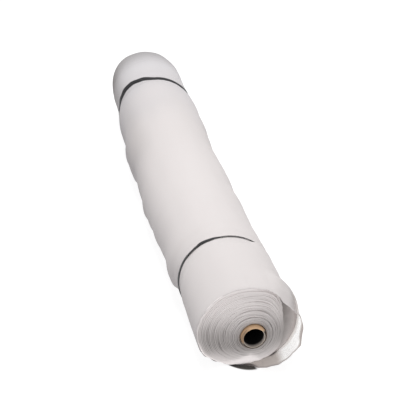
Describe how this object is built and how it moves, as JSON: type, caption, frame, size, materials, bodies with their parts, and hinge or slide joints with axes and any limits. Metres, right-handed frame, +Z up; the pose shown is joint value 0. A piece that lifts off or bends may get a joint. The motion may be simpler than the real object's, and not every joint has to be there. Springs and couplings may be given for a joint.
{
  "type": "roll of debris netting",
  "caption": "Roll of white debris netting wound on a cardboard tube, lying on its side, held by dark flat straps, with its outermost turn loose at one end.",
  "frame": {"origin": "middle of the roll's footprint, on the surface that it lies on", "axes": "+Y along the roll, from the end with the loose turn towards the plain end; +Z up; +X to the right seen from the loose end"},
  "size_m": [0.2672, 1.54, 0.2392],
  "materials": {
    "netting": "white knitted plastic netting, matt with a faint sheen",
    "tube": "plain brown wound cardboard, matt",
    "strap": "black flat plastic strapping, satin"
  },
  "bodies": {
    "root": {"core_tube": "tube", "netting": "netting", "strap_near": "strap", "strap_far": "strap"}
  },
  "joints": []
}
